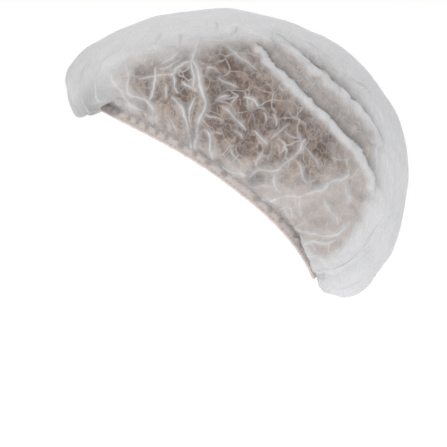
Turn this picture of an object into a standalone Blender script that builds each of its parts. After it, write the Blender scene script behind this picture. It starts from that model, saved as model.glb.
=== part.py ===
# Disposable bouffant scrub cap: a thin crown, a folded hem and the elastic inside the hem.
# Metres, +Z up. The wearer faces -Y and has the left ear on +X.
# The origin is the middle of the head opening, where a head holds the cap.
#
# Most of the work is done in the opening's own frame: side to side, along from front to nape,
# and up through the crown. place() turns it into world axes.

import math

import bmesh
import bpy
import numpy as np

MM = 0.001

# Sizes of the opening, from the origin to the middle of the hem's section

OPENING_TILT = math.radians(39.6)   # the nape sits lower than the forehead
OPENING_FRONT = 92.0 * MM
OPENING_BACK = 97.0 * MM
OPENING_SIDE = 76.5 * MM
OPENING_BLUNT = 0.90                # under 1 gives a broader forehead and nape than an ellipse
FRONT_RISE = 2.0 * MM
SIDE_RISE = 20.5 * MM               # the hem arches up over the ears
BACK_RISE = 5.5 * MM
SIDE_RISE_LAG = 7.0 * MM            # and stays high a little further back

# Sizes of the crown

WALL = 1.0 * MM                     # crown, and each wall of the hem
CROWN_HEIGHT = 143.2 * MM           # above the plane of the opening
FRONT_OVERHANG = 36.3 * MM          # how far the fullness stands out past the hem
SIDE_OVERHANG = 17.5 * MM
BACK_OVERHANG = 34.0 * MM
POLE_BACK = 12.3 * MM               # the top of the crown lies behind the origin
DROOP = 23.0 * MM                   # the fullness hangs down in front of the forehead
DROOP_HALF_WIDTH = 60.0 * MM
DROOP_START = 0.94                  # it begins this far ahead, as a share of OPENING_FRONT
DROOP_EASE = 0.11                   # and is whole this much further on
DROOP_SQUARE = 4                    # over 2 keeps it whole further to each side
TUCK_HEIGHT = 2.8 * MM
FOLD_HEIGHT = 2.2 * MM
FOLD_WIDTH = 5.0 * MM

# Sizes of the gathers, the hem and the elastic

GATHER_COUNT = 48
GATHER_DEPTH = 1.5 * MM
GATHER_UNEVEN = 0.25
GATHER_BEAT = math.radians(137.5)   # from column to column, so that no two neighbours match
HEM_HEIGHT = 7.0 * MM
HEM_CHAMFER = 0.5 * MM
HEM_LEAN = tuple(math.radians(a) for a in (8.0, 5.0, -10.0))    # outward, at front, side and back
CLEARANCE = 0.3 * MM                # between any two pieces
CROWN_LIFT_OFF = 0.6 * MM           # how far above the hem the crown starts to turn out
ELASTIC_WIDTH = 3.0 * MM
ELASTIC_THICKNESS = 1.0 * MM
ELASTIC_UP = WALL + CLEARANCE       # its lower edge, from the hem's lower edge
CROWN_EDGE_UP = ELASTIC_UP + ELASTIC_WIDTH + CLEARANCE  # the crown's edge sits in the hem above it

COLUMNS = 2 * GATHER_COUNT          # one column on each ridge and one in each furrow
ANGLES = [2 * math.pi * i / COLUMNS for i in range(COLUMNS)]    # 0 at the forehead, pi at the nape

# Rings where the crown rolls over the hem. The out columns are shares of the overhang at that
# place, the up columns shares of HEM_HEIGHT from the hem's lower edge.
ROLL_RINGS = (
    # front_out, front_up, side_out, side_up, back_out, back_up, droop, gather
    (0.055, 1.37, 0.097, 1.40, 0.059, 1.36, 0.00, 0.25),
    (0.107, 1.36, 0.208, 1.64, 0.126, 0.75, 0.10, 0.70),
    (0.135, 1.43, 0.331, 1.85, 0.165, -0.05, 0.49, 1.00),
    (0.176, 1.50, 0.446, 2.17, 0.237, -0.38, 0.88, 1.00),
)

# Rings from there to the widest one. The out columns are shares of the overhang, the up columns
# shares of the way from the hem's top to the widest ring.
UNDER_RINGS = (
    # front_out, front_up, side_out, side_up, back_out, back_up, droop, gather
    (0.303, 0.233, 0.577, 0.270, 0.368, -0.690, 1.00, 0.95),
    (0.523, 0.267, 0.743, 0.420, 0.559, -0.467, 0.87, 0.80),
    (0.744, 0.367, 0.886, 0.590, 0.750, -0.244, 0.68, 0.62),
    (0.898, 0.533, 0.983, 0.785, 0.912, 0.260, 0.54, 0.45),
    (1.000, 1.000, 1.000, 1.000, 1.000, 1.000, 0.39, 0.30),
)
WIDEST_UP = (0.147, 0.517, 0.182)   # front, side, back, as shares of CROWN_HEIGHT

# Rings above the widest one. The out columns are shares of the opening and overhang together,
# the up columns shares of CROWN_HEIGHT. Tucks run along rings 2 and 5.
OVER_RINGS = (
    # front_out, front_up, side_out, side_up, back_out, back_up, droop, gather
    (0.998, 0.223, 0.984, 0.580, 0.995, 0.280, 0.20, 0.17),
    (0.963, 0.294, 0.956, 0.630, 0.987, 0.363, 0.06, 0.08),
    (0.935, 0.350, 0.936, 0.664, 0.969, 0.420, 0.00, 0.00),
    (0.900, 0.409, 0.924, 0.680, 0.947, 0.475, 0.00, 0.00),
    (0.834, 0.506, 0.835, 0.764, 0.893, 0.569, 0.00, 0.00),
    (0.779, 0.573, 0.777, 0.810, 0.847, 0.636, 0.00, 0.00),
    (0.717, 0.643, 0.757, 0.825, 0.786, 0.724, 0.00, 0.00),
    (0.569, 0.762, 0.630, 0.886, 0.664, 0.838, 0.00, 0.00),
    (0.390, 0.869, 0.460, 0.940, 0.504, 0.925, 0.00, 0.00),
    (0.191, 0.943, 0.270, 0.976, 0.344, 0.978, 0.00, 0.00),
    (0.023, 0.985, 0.105, 0.994, 0.183, 0.997, 0.00, 0.00),
)

# Tucks pressed in from front to back over each side. lift and sink are shares of TUCK_HEIGHT:
# the ring of the tuck stands out, and the ring above it sinks, so that the upper edge is sharp.
TUCKS = (
    # ring, start_deg, end_deg, ease_deg, lift, sink
    (2, 72.0, 121.0, 12.0, 1.00, 0.30),
    (5, 71.0, 127.0, 12.0, 1.00, 0.30),
)

# Folds and hollows of both sides as seen from there. Points are (along, up), as shares of half
# the crown's length and of CROWN_HEIGHT.
FOLDS = (
    # name, height as a share of FOLD_HEIGHT, half width as a share of FOLD_WIDTH, points
    ("brow crease", 1.0, 1.0, ((-0.54, 0.58), (-0.48, 0.50), (-0.355, 0.40), (-0.28, 0.30), (-0.11, 0.21))),
    ("temple crease", 0.7, 0.9, ((-0.68, 0.50), (-0.60, 0.41), (-0.51, 0.31), (-0.48, 0.21))),
    ("ear fold", 0.8, 1.0, ((0.23, 0.21), (0.32, 0.32), (0.455, 0.47))),
    ("nape fold", 0.8, 1.0, ((0.46, 0.17), (0.57, 0.24), (0.68, 0.30))),
    ("back of the head", -1.3, 1.8, ((0.44, 0.75), (0.59, 0.61), (0.68, 0.50), (0.69, 0.335), (0.73, 0.19))),
    ("over the ear", -0.7, 2.4, ((-0.08, 0.42), (0.11, 0.35), (0.26, 0.43))),
)


def place(side, along, up):
    c, s = math.cos(OPENING_TILT), math.sin(OPENING_TILT)
    return np.array([side, along * c + up * s, -along * s + up * c])


def blend(angle, ends):
    """The value at an angle, from those at the front, side and back, with no kink between."""
    front, side, back = ends
    c, s = math.cos(angle), math.sin(angle)
    return side * s * s + (front if c > 0 else back) * c * c


def power(value, exponent):
    return math.copysign(abs(value) ** exponent, value)


def oval(angle, reach, bluntness):
    """(side, along) on an oval that reaches these distances to the front, side and back."""
    front, side, back = reach
    along = (back - front) / 2 - (back + front) / 2 * power(math.cos(angle), bluntness)
    return side * power(math.sin(angle), bluntness), along


def ease(share):
    share = min(1.0, max(0.0, share))
    return share * share * (3 - 2 * share)


def turn_of(angle):
    """How far an angle is from the forehead, 0 to pi, the same on both sides."""
    return min(angle, 2 * math.pi - angle)


OPENING = (OPENING_FRONT, OPENING_SIDE, OPENING_BACK)
OVERHANG = (FRONT_OVERHANG, SIDE_OVERHANG, BACK_OVERHANG)
HALF_LENGTH = (OPENING_FRONT + FRONT_OVERHANG + OPENING_BACK + BACK_OVERHANG) / 2


def rim_point(angle):
    side, along = oval(angle, OPENING, OPENING_BLUNT)
    lag = SIDE_RISE_LAG * math.sin(angle) ** 2 * math.cos(angle)
    return np.array([side, along, blend(angle, (FRONT_RISE, SIDE_RISE, BACK_RISE)) - lag])


def hem_frame(angle):
    """The rim point, the way out of the hem and the way up the hem."""
    step = math.pi / COLUMNS / 4
    run = rim_point(angle + step) - rim_point(angle - step)
    run /= np.linalg.norm(run)
    flat_out = np.array([run[1], -run[0], 0.0])
    flat_out /= np.linalg.norm(flat_out)
    lean = blend(angle, HEM_LEAN)
    up = np.array([0.0, 0.0, 1.0]) * math.cos(lean) + flat_out * math.sin(lean)
    up -= run * np.dot(up, run)
    up /= np.linalg.norm(up)
    return rim_point(angle), np.cross(run, up), up


HEM_FRAMES = [hem_frame(angle) for angle in ANGLES]


def in_hem(column, out, up):
    point, way_out, way_up = HEM_FRAMES[column]
    return point + out * way_out + up * way_up


def droop_share(side, along):
    """1 in front of the forehead, 0 behind it, fading to both temples."""
    ahead = ease((-along / OPENING_FRONT - DROOP_START) / DROOP_EASE)
    return ahead * math.exp(-(abs(side / DROOP_HALF_WIDTH) ** DROOP_SQUARE))


def drooped(point, share):
    point[2] -= share * DROOP * droop_share(point[0], point[1])
    return point


def split(row):
    """A table row as its three outs, its three ups, its droop and its gather."""
    return row[0:5:2], row[1:6:2], row[6], row[7]


def crown_rings():
    """The crown's middle surface, ring by ring from its tucked edge upwards, and each ring's gather."""
    edges = (CROWN_EDGE_UP, HEM_HEIGHT + CROWN_LIFT_OFF)
    rings = [[in_hem(i, 0.0, up) for i in range(COLUMNS)] for up in edges]
    gathers = [0.0, 0.0]

    for outs, ups, droop, gather in map(split, ROLL_RINGS):
        ring = []
        for i, angle in enumerate(ANGLES):
            out = blend(angle, [share * over for share, over in zip(outs, OVERHANG)])
            ring.append(drooped(in_hem(i, out, blend(angle, ups) * HEM_HEIGHT), droop))
        rings.append(ring)
        gathers.append(gather)

    for number, (outs, ups, droop, gather) in enumerate(map(split, UNDER_RINGS)):
        bluntness = OPENING_BLUNT + (1 - OPENING_BLUNT) * (number + 1) / len(UNDER_RINGS)
        reach = [size + share * over for size, share, over in zip(OPENING, outs, OVERHANG)]
        ring = []
        for angle in ANGLES:
            low = rim_point(angle)[2] + HEM_HEIGHT
            up = low + blend(angle, ups) * (blend(angle, WIDEST_UP) * CROWN_HEIGHT - low)
            ring.append(drooped(np.array([*oval(angle, reach, bluntness), up]), droop))
        rings.append(ring)
        gathers.append(gather)

    for outs, ups, droop, gather in map(split, OVER_RINGS):
        reach = [share * (size + over) for share, size, over in zip(outs, OPENING, OVERHANG)]
        ring = []
        for angle in ANGLES:
            up = blend(angle, ups) * CROWN_HEIGHT
            ring.append(drooped(np.array([*oval(angle, reach, 1.0), up]), droop))
        rings.append(ring)
        gathers.append(gather)
    return np.array(rings), np.array(gathers)


def outward(rings, pole):
    """Unit normals of the middle surface at every ring point."""
    around = np.roll(rings, -1, axis=1) - np.roll(rings, 1, axis=1)
    top = np.broadcast_to(pole, (1, COLUMNS, 3))
    climb = np.concatenate([rings[1:], top]) - np.concatenate([rings[:1], rings[:-1]])
    normals = np.cross(around, climb)
    return normals / np.linalg.norm(normals, axis=2, keepdims=True)


def distance_to(points, along, up):
    """From a point to a line through a few points, all in metres."""
    best = math.inf
    for (a0, b0), (a1, b1) in zip(points, points[1:]):
        run_a, run_b = a1 - a0, b1 - b0
        share = ((along - a0) * run_a + (up - b0) * run_b) / (run_a**2 + run_b**2)
        share = min(1.0, max(0.0, share))
        best = min(best, math.hypot(along - a0 - share * run_a, up - b0 - share * run_b))
    return best


def gather_lift(gathers):
    lift = np.zeros((len(gathers), COLUMNS))
    for column in range(COLUMNS):
        way = 1.0 if column % 2 == 0 else -1.0
        uneven = 1.0 + GATHER_UNEVEN * math.sin(GATHER_BEAT * column)
        lift[:, column] = way * uneven * gathers * GATHER_DEPTH
    return lift


def tuck_lift(rows):
    lift = np.zeros((rows, COLUMNS))
    first = rows - len(OVER_RINGS)
    for ring, start, end, fade, height, sink in TUCKS:
        for column, angle in enumerate(ANGLES):
            turn = math.degrees(turn_of(angle))
            share = ease(1 - max(start - turn, turn - end, 0.0) / fade)
            lift[first + ring, column] += share * height * TUCK_HEIGHT
            lift[first + ring + 1, column] -= share * sink * TUCK_HEIGHT
    return lift


def fold_lift(rings):
    lift = np.zeros(rings.shape[:2])
    first = rings.shape[0] - len(OVER_RINGS) - len(UNDER_RINGS)
    for name, height, width, points in FOLDS:
        line = [(along * HALF_LENGTH, up * CROWN_HEIGHT) for along, up in points]
        for row in range(first, rings.shape[0] - 1):
            for column, angle in enumerate(ANGLES):
                away = distance_to(line, rings[row, column, 1], rings[row, column, 2])
                flank = ease(2.0 * math.sin(angle) ** 2)
                fade = math.exp(-((away / (width * FOLD_WIDTH)) ** 2))
                lift[row, column] += flank * height * FOLD_HEIGHT * fade
    return lift


def material(name, colour, roughness, sheen):
    made = bpy.data.materials.new(name)
    made.use_nodes = True
    shader = made.node_tree.nodes["Principled BSDF"]
    shader.inputs["Base Color"].default_value = (*colour, 1.0)
    shader.inputs["Roughness"].default_value = roughness
    shader.inputs["Sheen Weight"].default_value = sheen
    return made


def column_of(vertex):
    return round(math.atan2(vertex.co.y, vertex.co.x) / (2 * math.pi) * COLUMNS) % COLUMNS


def shaped(bm, name, points, finish):
    """An object from a primitive, each vertex moved to the point that its order layer numbers."""
    order = bm.verts.layers.int["order"]
    for vertex in bm.verts:
        vertex.co = points[vertex[order]]
    mesh = bpy.data.meshes.new(name)
    bm.to_mesh(mesh)
    bm.free()
    mesh.materials.append(finish)
    mesh.shade_smooth()
    mesh.set_sharp_from_angle(angle=math.radians(40))
    obj = bpy.data.objects.new(name, mesh)
    cap.objects.link(obj)
    return obj


def build_crown():
    """A sphere without its lower pole, its circles moved to the crown's rings, then given its wall."""
    rings, gathers = crown_rings()
    pole = np.array([0.0, POLE_BACK, CROWN_HEIGHT])
    rows = rings.shape[0]
    lift = gather_lift(gathers) + tuck_lift(rows) + fold_lift(rings)
    rings = rings + outward(rings, pole) * lift[:, :, None]
    points = [place(*point) for point in rings.reshape(-1, 3)] + [place(*pole)]

    bm = bmesh.new()
    bmesh.ops.create_uvsphere(bm, u_segments=COLUMNS, v_segments=rows + 1, radius=1.0)
    low = min(bm.verts, key=lambda vertex: vertex.co.z)
    bmesh.ops.delete(bm, geom=[low], context="VERTS")
    order = bm.verts.layers.int.new("order")
    for vertex in bm.verts:
        height = min(1.0, max(-1.0, vertex.co.z))
        row = round((math.asin(height) / math.pi + 0.5) * (rows + 1)) - 1
        vertex[order] = row * COLUMNS + (column_of(vertex) if row < rows else 0)
    crown = shaped(bm, "crown", points, material("nonwoven", (0.70, 0.70, 0.71), 0.75, 0.25))
    wall = crown.modifiers.new("wall", "SOLIDIFY")
    wall.thickness = WALL
    wall.offset = 0.0
    wall.use_even_offset = True


def build_swept(name, section, finish):
    """A ring whose section, a closed list of (out, up) in the hem's frame, follows the opening."""
    sides = len(section)
    points = [place(*in_hem(i, out, up)) for out, up in section for i in range(COLUMNS)]
    bpy.ops.mesh.primitive_torus_add(
        major_segments=COLUMNS, minor_segments=sides, major_radius=1.0, minor_radius=0.25
    )
    torus = bpy.context.object
    bm = bmesh.new()
    bm.from_mesh(torus.data)
    bpy.data.objects.remove(torus, do_unlink=True)
    order = bm.verts.layers.int.new("order")
    for vertex in bm.verts:
        beyond = math.hypot(vertex.co.x, vertex.co.y) - 1.0
        corner = round(math.atan2(vertex.co.z, beyond) / (2 * math.pi) * sides) % sides
        vertex[order] = corner * COLUMNS + column_of(vertex)
    shaped(bm, name, points, finish)


def build_hem():
    """A strip folded to a U, its mouth up: the elastic lies in the fold, the crown's edge above it."""
    inner = max(WALL, ELASTIC_THICKNESS) / 2 + CLEARANCE
    outer = inner + WALL
    section = (
        (outer - HEM_CHAMFER, 0.0),
        (outer, HEM_CHAMFER),
        (outer, HEM_HEIGHT),
        (inner, HEM_HEIGHT),
        (inner, WALL),
        (-inner, WALL),
        (-inner, HEM_HEIGHT),
        (-outer, HEM_HEIGHT),
        (-outer, HEM_CHAMFER),
        (-outer + HEM_CHAMFER, 0.0),
    )
    build_swept("hem", section, material("hem_nonwoven", (0.62, 0.60, 0.59), 0.75, 0.2))


def build_elastic():
    half = ELASTIC_THICKNESS / 2
    high = ELASTIC_UP + ELASTIC_WIDTH
    section = ((half, ELASTIC_UP), (half, high), (-half, high), (-half, ELASTIC_UP))
    build_swept("elastic_band", section, material("elastic", (0.62, 0.50, 0.44), 0.6, 0.1))


for old in list(bpy.data.objects):
    bpy.data.objects.remove(old, do_unlink=True)
cap = bpy.data.collections.new("scrub_cap")
bpy.context.scene.collection.children.link(cap)

build_crown()
build_hem()
build_elastic()
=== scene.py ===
import math

import bpy
import numpy as np
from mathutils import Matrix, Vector, noise


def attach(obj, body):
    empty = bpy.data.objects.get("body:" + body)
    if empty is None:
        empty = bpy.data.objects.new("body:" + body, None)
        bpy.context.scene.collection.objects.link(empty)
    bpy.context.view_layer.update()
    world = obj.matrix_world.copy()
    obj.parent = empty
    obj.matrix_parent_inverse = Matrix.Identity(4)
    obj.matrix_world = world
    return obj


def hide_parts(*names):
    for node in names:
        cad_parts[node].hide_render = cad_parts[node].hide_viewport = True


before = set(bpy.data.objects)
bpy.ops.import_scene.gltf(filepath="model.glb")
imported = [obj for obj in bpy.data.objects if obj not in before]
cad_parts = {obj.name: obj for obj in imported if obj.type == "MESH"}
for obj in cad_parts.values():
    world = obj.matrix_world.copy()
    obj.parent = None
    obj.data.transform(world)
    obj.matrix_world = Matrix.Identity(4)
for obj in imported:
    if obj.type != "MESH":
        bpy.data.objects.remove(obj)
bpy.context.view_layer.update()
mm = 0.001

# The form that the solids have, in millimetres and degrees. Triples are front, side and back.
form = {
    "tilt": 39.6,
    "opening": (92.0, 76.5, 97.0),
    "openingBlunt": 0.90,
    "rimRise": (2.0, 20.5, 5.5),
    "rimLag": 7.0,
    "overhang": (36.3, 17.5, 34.0),
    "height": 143.2,
    "widestUp": (0.147, 0.517, 0.182),
    "poleBack": 12.3,
    "droop": 23.0,
    "droopHalfWidth": 60.0,
    "droopStart": 0.94,
    "droopEase": 0.11,
    "droopSquare": 4,
    "hemHeight": 7.0,
    "hemLean": (8.0, 5.0, -10.0),
    "edgeTuck": 2.4,
    "liftOff": 0.6,
}

# Rings over the hem: front out, up, side out, up, back out, up, droop. Outs are shares of the
# overhang, ups are shares of the hem's height.
rollRings = (
    (0.055, 1.37, 0.097, 1.40, 0.059, 1.36, 0.00),
    (0.107, 1.36, 0.208, 1.64, 0.126, 0.75, 0.10),
    (0.135, 1.43, 0.331, 1.85, 0.165, -0.05, 0.49),
    (0.176, 1.50, 0.446, 2.17, 0.237, -0.38, 0.88),
)

# Rings up to the widest one. Ups are shares of the way from the hem's top to the widest ring.
underRings = (
    (0.303, 0.233, 0.577, 0.270, 0.368, -0.690, 1.00),
    (0.523, 0.267, 0.743, 0.420, 0.559, -0.467, 0.87),
    (0.744, 0.367, 0.886, 0.590, 0.750, -0.244, 0.68),
    (0.898, 0.533, 0.983, 0.785, 0.912, 0.260, 0.54),
    (1.000, 1.000, 1.000, 1.000, 1.000, 1.000, 0.39),
)

# Rings above it. Outs are shares of opening and overhang together, ups shares of the height.
overRings = (
    (0.998, 0.223, 0.984, 0.580, 0.995, 0.280, 0.20),
    (0.963, 0.294, 0.956, 0.630, 0.987, 0.363, 0.06),
    (0.935, 0.350, 0.936, 0.664, 0.969, 0.420, 0.00),
    (0.900, 0.409, 0.924, 0.680, 0.947, 0.475, 0.00),
    (0.834, 0.506, 0.835, 0.764, 0.893, 0.569, 0.00),
    (0.779, 0.573, 0.777, 0.810, 0.847, 0.636, 0.00),
    (0.717, 0.643, 0.757, 0.825, 0.786, 0.724, 0.00),
    (0.569, 0.762, 0.630, 0.886, 0.664, 0.838, 0.00),
    (0.390, 0.869, 0.460, 0.940, 0.504, 0.925, 0.00),
    (0.191, 0.943, 0.270, 0.976, 0.344, 0.978, 0.00),
    (0.023, 0.985, 0.105, 0.994, 0.183, 0.997, 0.00),
)


def blendAt(angle, ends):
    front, side, back = ends
    c, s = np.cos(angle), np.sin(angle)
    return side * s * s + np.where(c > 0, front, back) * c * c


def signedPower(value, exponent):
    return np.sign(value) * np.abs(value) ** exponent


def ovalAt(angle, reach, blunt):
    front, side, back = reach
    along = (back - front) / 2 - (back + front) / 2 * signedPower(np.cos(angle), blunt)
    return side * signedPower(np.sin(angle), blunt), along


def ease(share):
    share = np.clip(share, 0.0, 1.0)
    return share * share * (3 - 2 * share)


def curveAt(a, b, c, d, f):
    # a smooth curve between b and c, at the share f of the way
    return 0.5 * (2 * b + (c - a) * f + (2 * a - 5 * b + 4 * c - d) * f**2 + (3 * b - a - 3 * c + d) * f**3)


def toWorld(points):
    c, s = math.cos(math.radians(form["tilt"])), math.sin(math.radians(form["tilt"]))
    side, along, up = points[..., 0], points[..., 1], points[..., 2]
    return np.stack([side, along * c + up * s, -along * s + up * c], axis=-1)


def rimAt(angle):
    side, along = ovalAt(angle, form["opening"], form["openingBlunt"])
    lag = form["rimLag"] * np.sin(angle) ** 2 * np.cos(angle)
    return np.stack([side, along, blendAt(angle, form["rimRise"]) - lag], axis=-1)


def hemFrames(angle):
    # the rim, the way out of the hem and the way up it, at each angle
    run = rimAt(angle + 0.008) - rimAt(angle - 0.008)
    run /= np.linalg.norm(run, axis=-1, keepdims=True)
    flatOut = np.stack([run[:, 1], -run[:, 0], np.zeros(len(angle))], axis=-1)
    flatOut /= np.linalg.norm(flatOut, axis=-1, keepdims=True)
    lean = np.radians(blendAt(angle, form["hemLean"]))[:, None]
    up = np.array([0.0, 0.0, 1.0]) * np.cos(lean) + flatOut * np.sin(lean)
    up -= run * (up * run).sum(-1, keepdims=True)
    up /= np.linalg.norm(up, axis=-1, keepdims=True)
    return rimAt(angle), np.cross(run, up), up


def droopAt(side, along):
    ahead = ease((-along / form["opening"][0] - form["droopStart"]) / form["droopEase"])
    return ahead * np.exp(-(np.abs(side / form["droopHalfWidth"]) ** form["droopSquare"]))


def controlRings(angle):
    # the crown's rings from its tucked edge to its top, in the opening's own axes
    rim, out, up = hemFrames(angle)
    height = form["hemHeight"]
    rings = [rim + up * (height - form["edgeTuck"]), rim + up * (height + form["liftOff"])]

    def drooped(points, share):
        points[:, 2] -= share * form["droop"] * droopAt(points[:, 0], points[:, 1])
        return points

    for row in rollRings:
        outs = blendAt(angle, [share * over for share, over in zip(row[0:5:2], form["overhang"])])
        ups = blendAt(angle, row[1:6:2]) * height
        rings.append(drooped(rim + out * outs[:, None] + up * ups[:, None], row[6]))
    for number, row in enumerate(underRings):
        blunt = form["openingBlunt"] + (1 - form["openingBlunt"]) * (number + 1) / len(underRings)
        reach = [a + share * b for a, share, b in zip(form["opening"], row[0:5:2], form["overhang"])]
        side, along = ovalAt(angle, reach, blunt)
        low = rim[:, 2] + height
        widest = blendAt(angle, form["widestUp"]) * form["height"]
        high = low + blendAt(angle, row[1:6:2]) * (widest - low)
        rings.append(drooped(np.stack([side, along, high], axis=-1), row[6]))
    for row in overRings:
        reach = [share * (a + b) for a, share, b in zip(form["opening"], row[0:5:2], form["overhang"])]
        side, along = ovalAt(angle, reach, 1.0)
        high = blendAt(angle, row[1:6:2]) * form["height"]
        rings.append(drooped(np.stack([side, along, high], axis=-1), row[6]))
    top = np.array([0.0, form["poleBack"], form["height"]])
    rings.append(np.broadcast_to(top, rings[0].shape).copy())
    return np.array(rings)


def crownGrid(columns, rows):
    # a smooth surface through the rings: its points, their angles and their way up from the edge
    angle = np.linspace(0.0, 2 * math.pi, columns, endpoint=False)
    rings = controlRings(angle)
    last = len(rings) - 1
    beyond = np.roll(rings[last - 1], columns // 2, axis=0)[None]
    padded = np.concatenate([2 * rings[:1] - rings[1:2], rings, beyond])

    def at(t):
        k = np.clip(np.floor(t).astype(int), 0, last - 1)
        f = (t - k)[:, None, None]
        return curveAt(*(padded[k + i] for i in range(4)), f)

    fine = np.linspace(0.0, last, 40 * last + 1)
    line = at(fine)
    steps = np.linalg.norm(np.diff(line, axis=0), axis=-1).mean(1)
    weight = steps * np.interp(fine[1:], (0, 2, 8, 14, last), (2.2, 2.0, 1.1, 1.0, 0.9))
    reach = np.concatenate([[0.0], np.cumsum(weight)])
    share = np.linspace(0.0, 1.0, rows + 1)[:-1]
    t = np.interp(share * reach[-1], reach, fine)
    grid = toWorld(at(t))
    rise = np.linalg.norm(np.diff(grid, axis=0), axis=-1)
    climb = np.concatenate([np.zeros((1, columns)), np.cumsum(rise, axis=0)])
    return angle, grid, climb, toWorld(rings[last][0])


def gridNormals(grid, top):
    around = np.roll(grid, -1, axis=1) - np.roll(grid, 1, axis=1)
    ends = np.broadcast_to(top, (1, grid.shape[1], 3))
    rise = np.concatenate([grid[1:], ends]) - np.concatenate([grid[:1], grid[:-1]])
    normals = np.cross(around, rise)
    return normals / np.maximum(np.linalg.norm(normals, axis=-1, keepdims=True), 1e-9)


def ringFaces(rows, columns, domed):
    # quads between rings, with a fan to one more vertex on a dome, or else round to the first ring
    faces = []
    for r in range(rows - 1 if domed else rows):
        n = (r + 1) % rows
        for c in range(columns):
            m = (c + 1) % columns
            faces.append((r * columns + c, r * columns + m, n * columns + m, n * columns + c))
    if domed:
        first = (rows - 1) * columns
        faces += [(first + c, first + (c + 1) % columns, rows * columns) for c in range(columns)]
    return faces


def meshObject(name, points, faces):
    mesh = bpy.data.meshes.new(name)
    mesh.from_pydata((np.asarray(points) * mm).tolist(), [], faces)
    mesh.update()
    obj = bpy.data.objects.new(name, mesh)
    bpy.context.scene.collection.objects.link(obj)
    mesh.shade_smooth()
    return obj


def applyModifier(obj, modifier):
    bpy.ops.object.select_all(action="DESELECT")
    obj.select_set(True)
    bpy.context.view_layer.objects.active = obj
    bpy.ops.object.modifier_apply(modifier=modifier.name)


def setAttribute(obj, name, values):
    layer = obj.data.attributes.new(name, "FLOAT", "POINT")
    layer.data.foreach_set("value", np.asarray(values, np.float32).ravel())


def noiseField(points, size, seed):
    # smooth noise from -1 to 1 at each point, size in millimetres
    shift = Vector((seed * 7.3, seed * -3.1, seed * 5.7))
    flat = points.reshape(-1, 3) / size
    values = [noise.noise(Vector(p) + shift) for p in flat]
    return np.array(values).reshape(points.shape[:-1])


crown = {
    "columns": 360,
    "rows": 126,
    "simColumns": 180,
    "simRows": 66,
    "wall": 0.4,
    "slack": 0.055,             # how much more cloth there is than form, for it to buckle
    "simFrames": 24,
    "mostMove": 2.0,
    "drawIn": 1.1,              # how far the loose fullness lies inside the form
    "gathers": 58,
    "gatherHeights": (1.4, 2.3, 3.6),
    "gatherReach": (10.0, 26.0, 62.0),
    "crumples": ((17.0, 0.9, 11), (9.0, 0.5, 12)),      # size, height and seed
    "farShift": (5.0, -4.0),    # the creases of the far side lie this much off, y and z
    "longFolds": 46,
    "longFoldHeight": 2.0,
    "longFoldLength": (30.0, 120.0),
    "longFoldSeed": 5,
    "pleatScale": 2.4,
    "flatCut": (0.37, 0.52),
    "flatArea": 0.142,
}

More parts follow.
